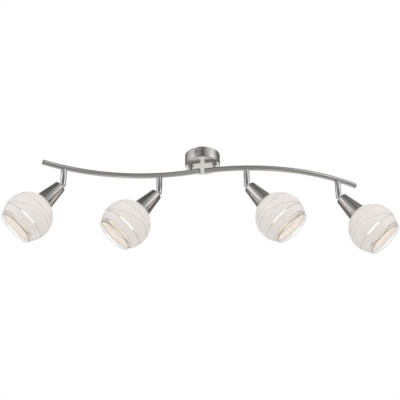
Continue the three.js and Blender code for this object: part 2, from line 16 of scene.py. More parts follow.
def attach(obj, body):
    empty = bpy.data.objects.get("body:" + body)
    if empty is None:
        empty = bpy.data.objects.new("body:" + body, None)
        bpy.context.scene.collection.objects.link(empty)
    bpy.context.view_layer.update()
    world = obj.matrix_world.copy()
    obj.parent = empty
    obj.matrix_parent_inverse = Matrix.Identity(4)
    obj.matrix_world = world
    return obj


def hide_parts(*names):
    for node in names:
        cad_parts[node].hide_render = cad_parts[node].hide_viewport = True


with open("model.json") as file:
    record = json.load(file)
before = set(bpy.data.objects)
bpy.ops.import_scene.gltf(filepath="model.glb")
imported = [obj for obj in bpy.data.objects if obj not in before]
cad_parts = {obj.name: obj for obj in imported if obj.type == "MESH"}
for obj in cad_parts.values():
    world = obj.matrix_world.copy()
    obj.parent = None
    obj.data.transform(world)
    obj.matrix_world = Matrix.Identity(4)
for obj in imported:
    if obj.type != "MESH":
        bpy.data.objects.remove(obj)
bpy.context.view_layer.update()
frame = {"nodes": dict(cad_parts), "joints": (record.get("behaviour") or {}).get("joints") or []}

# --- Driving dimensions ---

GAP = 0.0003  # between neighbouring pieces
EDGE = 0.00035  # the usual broken edge of a turned piece
FINE_EDGE = 0.0003  # the broken edge of thin sheet and of small screws
SMOOTH_EDGE = 0.0008  # the rounder edge of moulded and spun pieces
PROUD = 0.002  # how far a cutting tool stands out of what it cuts
ACROSS = 0.02  # half the length of a tool that goes right through a piece

CANOPY_R = 0.040
CANOPY_HEIGHT = 0.0268
CANOPY_WALL = 0.0012
CANOPY_FLOOR = 0.0015
CANOPY_EDGE_R = 0.00256
NOTCH_WIDTH = 0.0065
NOTCH_DEPTH = 0.0096
NOTCH_OFFSET = math.radians(12.5)
NOTCH_LEG_HEIGHT = 0.005
SIDE_SCREW_Z = -0.0072
SIDE_SCREW = {"head_r": 0.0038, "head_height": 0.0024, "shank_r": 0.0019, "length": 0.009}

STRAP_WIDTH = 0.018
STRAP_THICKNESS = 0.002
STRAP_HALF_LENGTH = 0.0365
TAB_WIDTH = 0.022
TAB_HEIGHT = 0.012
SLOT_CENTRE = 0.024
SLOT_LENGTH = 0.011
SLOT_WIDTH = 0.005
TAPPED_HOLE_R = 0.0022
EARTH_SCREW_PLACE = 0.0132
EARTH_SCREW = {"head_r": 0.0034, "head_height": 0.0018, "shank_r": 0.0018, "length": STRAP_THICKNESS}
TERMINAL_PITCH = 0.0086
TERMINAL_HALF_WIDTH = 0.013
TERMINAL_HALF_DEPTH = 0.008
TERMINAL_HEIGHT = 0.0085
TURRET_ROOT = 0.008  # this and the next two are counted down from the block's top
TURRET_SEAT = 0.010
TURRET_HEIGHT = 0.012
TURRET_ROOT_R = 0.0036
TURRET_MOUTH_R = 0.0034
TERMINAL_BORE_R = 0.0017
TERMINAL_BORE_DEPTH = 0.005
TERMINAL_SCREW_R = 0.0019
TERMINAL_SCREW_DEPTH = 0.0102
TERMINAL_SCREW_HEIGHT = 0.001

POST_SPREAD = 0.0275
POST_R = 0.004
POST_BORE_R = 0.0024
POST_TOP_Z = -0.014
COLLAR_R = 0.0066
COLLAR_HEIGHT = 0.002
NUT_R = 0.0072  # over its corners
NUT_HEIGHT = 0.005
NUT_CHAMFER_TOP_R = 0.0062
NUT_CHAMFER_FOOT_R = 0.0078
NUT_CHAMFER_HEIGHT = 0.0012
NUT_FLANGE_R = 0.008
NUT_FLANGE_HEIGHT = 0.0012

ARM_R = 0.006
ARM_WALL = 0.0012
ARM_BEND_R = 0.425
ARM_DROP = 0.0141
ARM_INNER = 0.021
ARM_OUTER = 0.342
ARM_CHORD_TURN = (ARM_OUTER - ARM_INNER) / (2 * ARM_BEND_R)  # of the line between an arm's ends
END_CAP_THICKNESS = 0.0012
END_CAP_PLUG = 0.006
END_CAP_EDGE = 0.0005
RIVET_HOLE_R = 0.0027
STEM_PLACES = {"inner": 0.0727, "outer": 0.292}

STEM_R = 0.0067
STEM_BORE_R = 0.0021
PIVOT_DROP = 0.0423
FORK_SLOT = 0.005
FORK_SLOT_RISE = 0.0086
TONGUE_THICKNESS = 0.0044
TONGUE_R = 0.0063
TONGUE_NECK_HALF = 0.0045
STUD_R = 0.0036
STUD_START = 0.007
STUD_END = 0.018
PIVOT_SCREW_R = 0.0017
PIVOT_HEAD_R = 0.003
PIVOT_HEAD_HEIGHT = 0.0013
PIVOT_HEAD_SUNK = 0.0003
PIVOT_SLIT_DEPTH = 0.0006
PIVOT_SLIT_HALF_WIDTH = 0.0004
HEAD_TILT = math.radians(40.5)

CUP_TOP = 0.0084
CUP_SMALL_R = 0.0133
CUP_LARGE_R = 0.0215
CUP_WALL = 0.001
CUP_FLOOR = 0.002
CUP_EDGE_R = 0.00312
HOLDER_TOP = 0.0107
HOLDER_NOSE_R = 0.006
HOLDER_NOSE_END = 0.016
HOLDER_EDGE_R = 0.0012
HOLDER_BODY_R = 0.0094
HOLDER_SKIRT_R = 0.0132
HOLDER_SKIRT_START = 0.044
HOLDER_SKIRT_SLOPE = 0.002
HOLDER_END = 0.068
HOLDER_SOCKET_R = 0.0074
HOLDER_SOCKET_START = 0.036
GLOBE_PLACE = 0.1113
GLOBE_R = 0.0549
GLASS = 0.0026
NECK_R = 0.0147
MOUTH_PLACE = 0.0393
MOUTH_R = 0.0426
RIM_HALF_HEIGHT = 0.0009
FLARE_START = 0.033
SHADE_SEGMENTS = 144
RING_R = 0.019
RING_HEIGHT = 0.005
RING_CLEARANCE = 0.0015
RING_SCALLOPS = 12
RING_SCALLOP_DEPTH = 0.0007
BULB_R = 0.0225
BULB_LENGTH = 0.053
BULB_WALL = 0.001
BULB_NECK_R = 0.007
BULB_NECK_TURN = math.radians(144)  # from the bulb's tip to where its neck starts
BULB_CAP_R = 0.0068
BULB_CAP_LENGTH = 0.025
BULB_CAP_THREAD_PITCH = 0.0028
BULB_CAP_THREAD_DEPTH = 0.0006

CANOPY_BOTTOM = -CANOPY_HEIGHT
FLOOR_TOP = CANOPY_BOTTOM + CANOPY_FLOOR
ARM_Z = CANOPY_BOTTOM - ARM_DROP
SIDES = {"left": -1, "right": 1}

# --- Local frames, from the joints ---

joints = {joint["name"]: joint for joint in frame["joints"]}


def on_arm(distance):
    """The place and heading on an arm's centre line, in the arm's frame."""
    angle = distance / ARM_BEND_R
    return ARM_BEND_R * math.sin(angle), ARM_BEND_R * (1 - math.cos(angle)), angle


def joint_place(name):
    return Vector(joints[name]["pos_m"])


def canopy_frame():
    spread = joint_place("arm_right_swivel") - joint_place("arm_left_swivel")
    return Matrix.Rotation(math.atan2(spread.y, spread.x), 4, "Z")


def arm_frame(side, inner_lamp):
    post = joint_place(f"arm_{side}_swivel")
    inner = joint_place(f"stem_{inner_lamp}_swivel")
    x, y, _ = on_arm(STEM_PLACES["inner"])
    heading = math.atan2(inner.y - post.y, inner.x - post.x) - math.atan2(y, x)
    return Matrix.Translation((post.x, post.y, ARM_Z)) @ Matrix.Rotation(heading, 4, "Z")


def leans_right(lamp):
    return joints[f"head_{lamp}_tilt"]["axis"][1] < 0


def stem_frame(lamp):
    """At the tube's centre line, with +X on the side towards which the head leans."""
    place = joint_place(f"stem_{lamp}_swivel")
    turn = 0 if leans_right(lamp) else math.pi
    return Matrix.Translation((place.x, place.y, ARM_Z)) @ Matrix.Rotation(turn, 4, "Z")


def head_frame(lamp):
    pivot = Matrix.Translation((0, 0, -PIVOT_DROP))
    return stem_frame(lamp) @ pivot @ Matrix.Rotation(math.pi - HEAD_TILT, 4, "Y")


# --- Material helpers ---


class Graph:
    """Short ways to add and link the nodes of a material or of the world."""

    def __init__(self, owner):
        self.owner = owner
        owner.use_nodes = True
        self.tree = owner.node_tree
        self.tree.nodes.clear()

    def node(self, kind, **settings):
        made = self.tree.nodes.new(kind)
        for key, value in settings.items():
            setattr(made, key, value)
        return made

    def feed(self, socket, value):
        if isinstance(value, bpy.types.NodeSocket):
            self.tree.links.new(value, socket)
        else:
            socket.default_value = value

    def math(self, operation, first, second=0.0):
        made = self.node("ShaderNodeMath", operation=operation)
        self.feed(made.inputs[0], first)
        self.feed(made.inputs[1], second)
        return made.outputs[0]

    def spread(self, value, low, high, to_low, to_high):
        """value's range from low to high, moved to another range and kept inside it."""
        made = self.node("ShaderNodeMapRange")
        for socket, number in zip(made.inputs[:5], (value, low, high, to_low, to_high)):
            self.feed(socket, number)
        return made.outputs[0]

    def combine(self, x, y, z):
        made = self.node("ShaderNodeCombineXYZ")
        for socket, number in zip(made.inputs, (x, y, z)):
            self.feed(socket, number)
        return made.outputs[0]

    def stretched(self, numbers, factors):
        """A vector of three numbers, each multiplied by its factor."""
        return self.combine(*[self.math("MULTIPLY", *pair) for pair in zip(numbers, factors)])

    def distance(self, x, y):
        squares = [self.math("MULTIPLY", number, number) for number in (x, y)]
        return self.math("SQRT", self.math("ADD", *squares))

    def place(self):
        """The x, y and z sockets of a point of the piece, in the piece's own frame."""
        coordinates = self.node("ShaderNodeTexCoord").outputs["Object"]
        parts = self.node("ShaderNodeSeparateXYZ")
        self.feed(parts.inputs[0], coordinates)
        return coordinates, parts.outputs

    def noise(self, vector, scale, detail=2.0, roughness=0.5):
        made = self.node("ShaderNodeTexNoise")
        self.feed(made.inputs["Vector"], vector)
        made.inputs["Scale"].default_value = scale
        made.inputs["Detail"].default_value = detail
        made.inputs["Roughness"].default_value = roughness
        return made.outputs[0]

    def mix_colours(self, share, first, second):
        made = self.node("ShaderNodeMix", data_type="RGBA")
        self.feed(made.inputs[0], share)
        self.feed(made.inputs[6], first)
        self.feed(made.inputs[7], second)
        return made.outputs[2]

    def bump(self, height, strength, distance):
        made = self.node("ShaderNodeBump")
        made.inputs["Strength"].default_value = strength
        made.inputs["Distance"].default_value = distance
        self.feed(made.inputs["Height"], height)
        return made.outputs[0]

    def principled(self, **values):
        made = self.node("ShaderNodeBsdfPrincipled")
        for key, value in values.items():
            self.feed(made.inputs[key.replace("_", " ")], value)
        return made

    def output(self, shader, kind="ShaderNodeOutputMaterial"):
        self.feed(self.node(kind).inputs["Surface"], shader.outputs[0])
        return self.owner


def colour(red, green, blue):
    return (red, green, blue, 1.0)


def new_graph(name):
    return Graph(bpy.data.materials.new(name))


# --- Materials ---

NICKEL = colour(0.69, 0.665, 0.635)
NICKEL_SHADE = colour(0.61, 0.585, 0.555)


def brushed(graph, lines, coarse, roughness, anisotropy, tangent, rotation):
    """Nickel whose fine grain runs across the direction in which lines changes."""
    grain = graph.noise(lines, 1.0, 3.0, 0.65)
    streaks = graph.spread(graph.noise(coarse, 1.0, 2.0, 0.5), 0.3, 0.7, 0.0, 1.0)
    shader = graph.principled(
        Base_Color=graph.mix_colours(streaks, NICKEL, NICKEL_SHADE),
        Metallic=1.0,
        Roughness=graph.spread(grain, 0.25, 0.75, roughness - 0.05, roughness + 0.06),
        Normal=graph.bump(grain, 0.25, 0.00002),
        Anisotropic=anisotropy,
        Anisotropic_Rotation=rotation,
        Tangent=tangent,
    )
    return graph.output(shader)


def turned_nickel(name, roughness, anisotropy):
    """Satin nickel brushed on a lathe: the grain runs round the piece's own Z axis."""
    graph = new_graph(name)
    _, (x, y, z) = graph.place()
    radius = graph.distance(x, y)
    off_axis = graph.math("ADD", radius, 0.0001)
    east = graph.math("DIVIDE", x, off_axis)
    north = graph.math("DIVIDE", y, off_axis)
    across = graph.math("ADD", z, radius)
    lines = graph.stretched((east, north, across), (1.0, 1.0, 5200.0))
    coarse = graph.stretched((east, north, across), (1.0, 1.0, 620.0))
    tangent = graph.node("ShaderNodeTangent", direction_type="RADIAL", axis="Z")
    quarter_turn = 0.25
    return brushed(graph, lines, coarse, roughness, anisotropy, tangent.outputs[0], quarter_turn)


def drawn_nickel():
    """Satin nickel brushed along an arm's tube, round the centre of its bend."""
    graph = new_graph("nickel_drawn")
    _, (x, y, z) = graph.place()
    east = graph.math("SUBTRACT", x, ARM_BEND_R * math.sin(ARM_CHORD_TURN))
    north = graph.math("SUBTRACT", y, ARM_BEND_R * math.cos(ARM_CHORD_TURN))
    reach = graph.distance(east, north)
    lines = graph.stretched((x, reach, z), (60.0, 4200.0, 4200.0))
    coarse = graph.stretched((x, reach, z), (25.0, 700.0, 700.0))
    along = graph.node("ShaderNodeVectorTransform", vector_type="VECTOR")
    along.convert_from = "OBJECT"
    along.convert_to = "WORLD"
    graph.feed(along.inputs[0], graph.stretched((north, east, 0.0), (-1.0, 1.0, 1.0)))
    return brushed(graph, lines, coarse, 0.38, 0.5, along.outputs[0], 0.0)


def polished_chrome():
    graph = new_graph("chrome_polished")
    place, _ = graph.place()
    haze = graph.noise(place, 90.0, 3.0)
    scuffs = graph.noise(place, 2600.0, 2.0)
    shader = graph.principled(
        Base_Color=graph.mix_colours(haze, colour(0.80, 0.805, 0.81), colour(0.74, 0.745, 0.75)),
        Metallic=1.0,
        Roughness=graph.spread(haze, 0.35, 0.7, 0.10, 0.16),
        Normal=graph.bump(scuffs, 0.06, 0.00001),
    )
    return graph.output(shader)


def zinc_plate():
    """Passivated zinc on pressed steel: cloudy, with a faint blue and straw cast."""
    graph = new_graph("zinc_plate")
    place, _ = graph.place()
    clouds = graph.noise(place, 260.0, 4.0, 0.6)
    grains = graph.noise(place, 3000.0, 2.0)
    cast = graph.spread(clouds, 0.35, 0.65, 0.0, 1.0)
    shader = graph.principled(
        Base_Color=graph.mix_colours(cast, colour(0.56, 0.60, 0.64), colour(0.66, 0.64, 0.58)),
        Metallic=1.0,
        Roughness=graph.spread(clouds, 0.3, 0.7, 0.34, 0.5),
        Normal=graph.bump(grains, 0.2, 0.00003),
    )
    return graph.output(shader)


def dull_brass():
    graph = new_graph("brass_dull")
    place, _ = graph.place()
    tarnish = graph.noise(place, 420.0, 3.0, 0.6)
    shader = graph.principled(
        Base_Color=graph.mix_colours(tarnish, colour(0.62, 0.47, 0.21), colour(0.46, 0.34, 0.15)),
        Metallic=1.0,
        Roughness=graph.spread(tarnish, 0.3, 0.7, 0.28, 0.45),
        Normal=graph.bump(tarnish, 0.1, 0.00003),
    )
    return graph.output(shader)


def moulded(name, light, dark, roughness, grain_scale):
    """Moulded plastic with a fine spark-eroded grain."""
    graph = new_graph(name)
    place, _ = graph.place()
    grain = graph.noise(place, grain_scale, 2.0)
    clouds = graph.noise(place, 120.0, 2.0)
    shader = graph.principled(
        Base_Color=graph.mix_colours(clouds, light, dark),
        Roughness=graph.spread(grain, 0.3, 0.7, roughness - 0.06, roughness + 0.06),
        Normal=graph.bump(grain, 0.15, 0.00003),
    )
    return graph.output(shader)


def satin_glass():
    """White sprayed glass: satin outside, and letting some of the bulb's light through."""
    graph = new_graph("glass_satin")
    place, _ = graph.place()
    clouds = graph.noise(place, 45.0, 3.0)
    grain = graph.noise(place, 2400.0, 2.0)
    skin = graph.principled(
        Base_Color=graph.mix_colours(clouds, colour(0.83, 0.80, 0.785), colour(0.80, 0.775, 0.765)),
        Roughness=graph.spread(grain, 0.3, 0.7, 0.3, 0.4),
        Normal=graph.bump(grain, 0.08, 0.00002),
    )
    through = graph.node("ShaderNodeBsdfTranslucent")
    through.inputs["Color"].default_value = colour(0.86, 0.85, 0.84)
    share_through = 0.35
    mix = graph.node("ShaderNodeMixShader")
    mix.inputs[0].default_value = share_through
    graph.feed(mix.inputs[1], skin.outputs[0])
    graph.feed(mix.inputs[2], through.outputs[0])
    return graph.output(mix)


def clear_glass(name, tint, speck, roughness):
    """Bare glass in a thin wall: what is behind shows through its tint, under a gloss. A grey tint is
    painted shade.
    """
    graph = new_graph(name)
    place, _ = graph.place()
    ripples = graph.noise(place, 700.0, 2.0)
    window = graph.node("ShaderNodeBsdfTransparent")
    graph.feed(window.inputs["Color"], graph.mix_colours(ripples, tint, speck))
    gloss = graph.node("ShaderNodeBsdfGlossy")
    gloss.inputs["Roughness"].default_value = roughness
    graph.feed(gloss.inputs["Normal"], graph.bump(ripples, 0.05, 0.00002))
    fresnel = graph.node("ShaderNodeFresnel")
    fresnel.inputs["IOR"].default_value = 1.52
    most_gloss = 0.2
    mix = graph.node("ShaderNodeMixShader")
    graph.feed(mix.inputs[0], graph.math("MINIMUM", fresnel.outputs[0], most_gloss))
    graph.feed(mix.inputs[1], window.outputs[0])
    graph.feed(mix.inputs[2], gloss.outputs[0])
    return graph.output(mix)


def lit_bulb():
    graph = new_graph("bulb_frosted")
    place, _ = graph.place()
    clouds = graph.noise(place, 60.0, 2.0)
    shader = graph.principled(
        Base_Color=graph.mix_colours(clouds, colour(0.9, 0.86, 0.8), colour(0.84, 0.8, 0.74)),
        Roughness=0.45,
        Emission_Color=colour(1.0, 0.88, 0.75),
        Emission_Strength=2.7,
    )
    return graph.output(shader)


MATERIALS = {
    "nickel_wall": turned_nickel("nickel_wall", 0.18, 0.8),
    "nickel_cup": turned_nickel("nickel_cup", 0.15, 0.85),
    "nickel_drawn": drawn_nickel(),
    "chrome": polished_chrome(),
    "zinc": zinc_plate(),
    "brass": dull_brass(),
    "plastic": moulded("plastic_white", colour(0.82, 0.80, 0.75), colour(0.78, 0.76, 0.71), 0.45, 1800.0),
    "lead": moulded("lead_sleeve", colour(0.78, 0.76, 0.71), colour(0.74, 0.72, 0.68), 0.5, 900.0),
    "satin": satin_glass(),
    # The line glass's grey tint is painted shade: it darkens what shows through the clear lines, to give
    # their dark look.
    "line": clear_glass("glass_line", colour(0.80, 0.79, 0.78), colour(0.74, 0.73, 0.72), 0.08),
    "lip": clear_glass("glass_lip", colour(0.97, 0.97, 0.96), colour(0.93, 0.93, 0.92), 0.05),
    # The rim glass's dark grey tint is painted shade: a dark edge that clear glass only shows when seen
    # edge on.
    "rim": clear_glass("glass_rim_painted_shade", colour(0.42, 0.42, 0.42), colour(0.36, 0.36, 0.36), 0.08),
    "bulb": lit_bulb(),
}

# --- Shape helpers ---


def mesh_piece(name, vertices, faces, place):
    mesh = bpy.data.meshes.new(name)
    mesh.from_pydata(vertices, [], faces)
    mesh.update()
    piece = bpy.data.objects.new(name, mesh)
    bpy.context.scene.collection.objects.link(piece)
    piece.matrix_world = place
    return piece


def lofted(name, rings, place):
    """Rings of points joined by quads, the last ring to the first. A ring of one point is a pole."""
    vertices = []
    numbered = []
    for ring in rings:
        numbered.append(range(len(vertices), len(vertices) + len(ring)))
        vertices.extend(ring)
    faces = []
    for low, high in zip(numbered, numbered[1:] + numbered[:1]):
        count = max(len(low), len(high))
        for i in range(count):
            j = (i + 1) % count
            corners = [low[i % len(low)], low[j % len(low)], high[j % len(high)], high[i % len(high)]]
            unique = list(dict.fromkeys(corners))
            if len(unique) > 2:
                faces.append(unique)
    return mesh_piece(name, vertices, faces, place)


def full_turn(count):
    return [2 * math.pi * i / count for i in range(count)]


def polar(radius, turn, height):
    return radius * math.cos(turn), radius * math.sin(turn), height


def bent(start, corner, end, share):
    """A point of the curve from start to end that bends towards corner."""
    return tuple(start * (1 - share) ** 2 + corner * 2 * share * (1 - share) + end * share * share)


def rounded(points, steps=4):
    """A closed outline whose corners are rounded. A point is (radius, height) or, with a corner
    radius, (radius, height, corner)."""
    outline = []
    for i, point in enumerate(points):
        corner = Vector(point[:2])
        if len(point) == 2:
            outline.append(tuple(corner))
            continue
        before = Vector(points[i - 1][:2]) - corner
        after = Vector(points[(i + 1) % len(points)][:2]) - corner
        half = before.angle(after) / 2
        reach = min(point[2] / math.tan(half), 0.49 * before.length, 0.49 * after.length)
        start = corner + before.normalized() * reach
        end = corner + after.normalized() * reach
        outline += [bent(start, corner, end, step / steps) for step in range(steps + 1)]
    return outline


def turned(name, outline, place, segments):
    """An outline of (radius, height) points turned about Z. It closes on itself."""
    on_axis = 1e-7
    rings = []
    for radius, height in outline:
        turns = full_turn(1 if radius < on_axis else segments)
        rings.append([polar(radius, turn, height) for turn in turns])
    return lofted(name, rings, place)


def prism(name, outline, low, high, place, axis="Y"):
    """An outline pushed along Y (its points are x, z) or along Z (its points are x, y)."""
    count = len(outline)
    vertices = []
    for depth in (low, high):
        for first, second in outline:
            vertices.append((first, depth, second) if axis == "Y" else (first, second, depth))
    faces = [[i, (i + 1) % count, count + (i + 1) % count, count + i] for i in range(count)]
    faces += [list(range(count)), list(range(2 * count - 1, count - 1, -1))]
    return mesh_piece(name, vertices, faces, place)


def box(name, low, high, place):
    outline = [(low[0], low[1]), (high[0], low[1]), (high[0], high[1]), (low[0], high[1])]
    return prism(name, outline, low[2], high[2], place, "Z")


def circle(x, y, radius, segments=32, start=0.0, end=2 * math.pi):
    """Points of a circle, or of an arc with both its ends."""
    whole = abs(end - start - 2 * math.pi) < 1e-9
    steps = segments if whole else segments + 1
    return [
        (x + radius * math.cos(start + (end - start) * i / segments),
         y + radius * math.sin(start + (end - start) * i / segments))
        for i in range(steps)
    ]


def face_outwards(piece):
    work = bmesh.new()
    work.from_mesh(piece.data)
    bmesh.ops.remove_doubles(work, verts=work.verts, dist=1e-7)
    bmesh.ops.recalc_face_normals(work, faces=work.faces)
    work.to_mesh(piece.data)
    work.free()


def apply_modifiers(piece):
    bpy.context.view_layer.update()
    evaluated = piece.evaluated_get(bpy.context.evaluated_depsgraph_get())
    made = bpy.data.meshes.new_from_object(evaluated)
    piece.modifiers.clear()
    piece.data = made


def boolean(piece, tool, operation):
    for each in (piece, tool):
        face_outwards(each)
    modifier = piece.modifiers.new("cut", "BOOLEAN")
    modifier.operation = operation
    modifier.solver = "EXACT"
    modifier.object = tool
    apply_modifiers(piece)
    bpy.data.objects.remove(tool)
    return piece


def cut(piece, tool):
    return boolean(piece, tool, "DIFFERENCE")


def join(piece, tool):
    return boolean(piece, tool, "UNION")


def keep_inside(piece, tool):
    return boolean(piece, tool, "INTERSECT")


def pierce(piece, outline, place, axis="Y"):
    return cut(piece, prism("hole", outline, -ACROSS, ACROSS, place, axis))


def bevelled(piece, width, segments=2, angle=40):
    modifier = piece.modifiers.new("edges", "BEVEL")
    modifier.width = width
    modifier.segments = segments
    modifier.limit_method = "ANGLE"
    modifier.angle_limit = math.radians(angle)
    modifier.use_clamp_overlap = True
    apply_modifiers(piece)
    return piece


def finished(piece, material, slot, body, *nodes, sharp=32):
    """Smooths the piece, gives it its material, hangs it on its body and hides the nodes it stands in for.
    """
    face_outwards(piece)
    if material and not piece.data.materials:
        piece.data.materials.append(MATERIALS[material])
    piece.data.shade_smooth()
    piece.data.set_sharp_from_angle(angle=math.radians(sharp))
    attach(piece, body)
    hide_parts(*nodes)
    return piece


# --- Canopy ---


def side_turn(side):
    """The canopy's frame, turned so that its -Y points at one of the two side screws."""
    return canopy_frame() @ Matrix.Rotation(0 if side < 0 else math.pi, 4, "Z")


def canopy_cup():
    place = canopy_frame()
    inner = CANOPY_R - CANOPY_WALL
    outline = rounded([
        (0.0, CANOPY_BOTTOM),
        (CANOPY_R, CANOPY_BOTTOM, CANOPY_EDGE_R),
        (CANOPY_R, -GAP, FINE_EDGE),
        (inner, -GAP, FINE_EDGE),
        (inner, FLOOR_TOP, SMOOTH_EDGE),
        (0.0, FLOOR_TOP),
    ], 6)
    cup = turned("canopy_cup_skin", outline, place, 192)
    for side in SIDES.values():
        hole = circle(side * POST_SPREAD, 0.0, POST_R + GAP)
        cut(cup, prism("hole", hole, CANOPY_BOTTOM - PROUD, FLOOR_TOP + PROUD, place, "Z"))
        cut(cup, bayonet_tool(side))
    punched_edge = 0.00022
    bevelled(cup, punched_edge)
    finished(cup, "nickel_wall", "satin_nickel", "mounting", "canopy_cup")


def bayonet_tool(side):
    """An L-shaped slot through the wall: an entry from the rim, and a leg that ends at the screw."""
    reach = 2 * PROUD
    near = -CANOPY_R - reach
    far = -CANOPY_R + reach
    half = NOTCH_WIDTH / 2
    entry_outline = [(-half, PROUD), (half, PROUD), (half, -NOTCH_DEPTH), (-half, -NOTCH_DEPTH)]
    entry_place = side_turn(side) @ Matrix.Rotation(-NOTCH_OFFSET, 4, "Z")
    entry = prism("entry", entry_outline, near, far, entry_place)
    leg_length = CANOPY_R * math.sin(NOTCH_OFFSET)
    leg_half = NOTCH_LEG_HEIGHT / 2
    leg_outline = [(-leg_length, SIDE_SCREW_Z - leg_half), (-leg_length, SIDE_SCREW_Z + leg_half)]
    leg_outline += circle(0.0, SIDE_SCREW_Z, leg_half, 16, math.pi / 2, -math.pi / 2)
    return join(entry, prism("leg", leg_outline, near, far, side_turn(side)))


def thread(radius, start, end, pitch, depth):
    """Outline points of a threaded shank, from start to end."""
    points = []
    turns = max(1, int(abs(end - start) / pitch))
    step = (end - start) / turns
    for i in range(turns):
        points.append((radius - depth, start + step * i))
        points.append((radius, start + step * (i + 0.5)))
    points.append((radius - depth, end))
    return points


def pan_screw(name, place, head_r, head_height, shank_r, length):
    """A cross-headed screw along Z: its head's underside is at 0 and its shank points to +Z."""
    edge_share = 0.35  # of the head's height, at its edge
    steps = 6
    outline = [(0.0, -head_height)]
    for i in range(1, steps + 1):
        turn = math.pi / 2 * i / steps
        height = head_height * (edge_share + (1 - edge_share) * math.cos(turn))
        outline.append((head_r * math.sin(turn), -height))
    outline += [(head_r, 0.0), (shank_r, 0.0)]
    neck = 0.0004
    outline += thread(shank_r, neck, length, pitch=0.0007, depth=0.0002) + [(0.0, length)]
    screw = turned(name, outline, place, 64)
    arm = head_r * 0.62
    width = head_r * 0.14
    for half_x, half_y in ((arm, width), (width, arm)):
        low = (-half_x, -half_y, -head_height - PROUD)
        high = (half_x, half_y, -head_height / 2)
        cut(screw, box("drive", low, high, place))
    worn_edge = 0.00008
    return bevelled(screw, worn_edge)


def side_screws():
    for name, side in (("side_screw_front", -1), ("side_screw_back", 1)):
        outside = Matrix.Translation((0, -CANOPY_R - GAP, SIDE_SCREW_Z))
        place = side_turn(side) @ outside @ Matrix.Rotation(-math.pi / 2, 4, "X")
        screw = pan_screw(name + "_turned", place, **SIDE_SCREW)
        finished(screw, "chrome", "chrome", "mounting", name)


def earth_screw():
    place = canopy_frame() @ Matrix.Translation((0, EARTH_SCREW_PLACE, -STRAP_THICKNESS - GAP))
    screw = pan_screw("earth_screw_turned", place, **EARTH_SCREW)
    finished(screw, "brass", "brass", "mounting", "earth_screw")


def ceiling_bracket():
    place = canopy_frame()
    half = STRAP_WIDTH / 2
    strap = box("ceiling_bracket_pressed", (-half, -STRAP_HALF_LENGTH, -STRAP_THICKNESS),
                (half, STRAP_HALF_LENGTH, 0.0), place)
    for end in SIDES.values():
        near = end * (STRAP_HALF_LENGTH - STRAP_THICKNESS)
        far = end * STRAP_HALF_LENGTH
        low = (-TAB_WIDTH / 2, min(near, far), -TAB_HEIGHT)
        high = (TAB_WIDTH / 2, max(near, far), -STRAP_THICKNESS / 2)
        join(strap, box("tab", low, high, place))
        tapped = circle(0.0, SIDE_SCREW_Z, TAPPED_HOLE_R, 24)
        cut(strap, prism("tapped", tapped, far - 2 * PROUD, far + 2 * PROUD, place))
        straight = (SLOT_LENGTH - SLOT_WIDTH) / 2
        middle = end * SLOT_CENTRE
        slot = circle(0.0, middle + straight, SLOT_WIDTH / 2, 16, 0.0, math.pi)
        slot += circle(0.0, middle - straight, SLOT_WIDTH / 2, 16, math.pi, 2 * math.pi)
        pierce(strap, slot, place, "Z")
    pierce(strap, circle(0.0, EARTH_SCREW_PLACE, TAPPED_HOLE_R, 24), place, "Z")
    bevelled(strap, FINE_EDGE)
    finished(strap, "zinc", "zinc_steel", "mounting", "ceiling_bracket")


def terminal_block():
    """Three terminals side by side, each with a screw turret and a brass screw sunk in it."""
    top = -STRAP_THICKNESS - GAP
    low = (-TERMINAL_HALF_WIDTH, -TERMINAL_HALF_DEPTH, top - TERMINAL_HEIGHT)
    high = (TERMINAL_HALF_WIDTH, TERMINAL_HALF_DEPTH, top)
    block = box("terminal_block_moulded", low, high, canopy_frame())
    root = top - TURRET_ROOT
    seat = top - TURRET_SEAT
    mouth = top - TURRET_HEIGHT
    recess_r = TERMINAL_SCREW_R + GAP
    terminals = [canopy_frame() @ Matrix.Translation((i * TERMINAL_PITCH, 0, 0)) for i in (-1, 0, 1)]
    for place in terminals:
        turret = [(0, root), (TURRET_ROOT_R, root), (TURRET_MOUTH_R, mouth), (0, mouth)]
        join(block, turned("turret", turret, place, 32))
        recess = [(0, seat), (recess_r, seat), (recess_r, mouth - PROUD), (0, mouth - PROUD)]
        cut(block, turned("recess", recess, place, 32))
        pierce(block, circle(0.0, top - TERMINAL_BORE_DEPTH, TERMINAL_BORE_R, 24), place)
    moulded_edge = 0.0004
    bevelled(block, moulded_edge)
    finished(block, "plastic", "white_plastic", "mounting", "terminal_block")
    for number, place in enumerate(terminals, start=1):
        terminal_screw(number, place, top - TERMINAL_SCREW_DEPTH)


def terminal_screw(number, place, inner):
    outer = inner - TERMINAL_SCREW_HEIGHT
    head = [(0, outer), (TERMINAL_SCREW_R, outer), (TERMINAL_SCREW_R, inner), (0, inner)]
    screw = turned(f"terminal_screw_{number}", head, place, 32)
    half_slit = 0.0003
    low = (-ACROSS, -half_slit, outer - PROUD)
    high = (ACROSS, half_slit, (outer + inner) / 2)
    cut(screw, box("slit", low, high, place))
    finished(screw, "brass", "brass", "mounting")


def post_collars():
    top = CANOPY_BOTTOM - GAP
    bottom = top - COLLAR_HEIGHT
    bore = POST_R + GAP
    outline = rounded([
        (bore, bottom, EDGE),
        (COLLAR_R, bottom, SMOOTH_EDGE),
        (COLLAR_R, top, EDGE),
        (bore, top),
    ])
    for side, sign in SIDES.items():
        place = canopy_frame() @ Matrix.Translation((sign * POST_SPREAD, 0, 0))
        collar = turned(f"post_collar_{side}_turned", outline, place, 64)
        finished(collar, "chrome", "chrome", "mounting", f"post_collar_{side}")


# --- Arms ---


def arm_ring(distance, radius, count):
    """Points of a ring round an arm's centre line."""
    x, y, angle = on_arm(distance)
    sideways = Vector((-math.sin(angle), math.cos(angle), 0))
    points = []
    for turn in full_turn(count):
        reach = math.cos(turn) * sideways + Vector((0, 0, math.sin(turn)))
        points.append(Vector((x, y, 0)) + radius * reach)
    return points


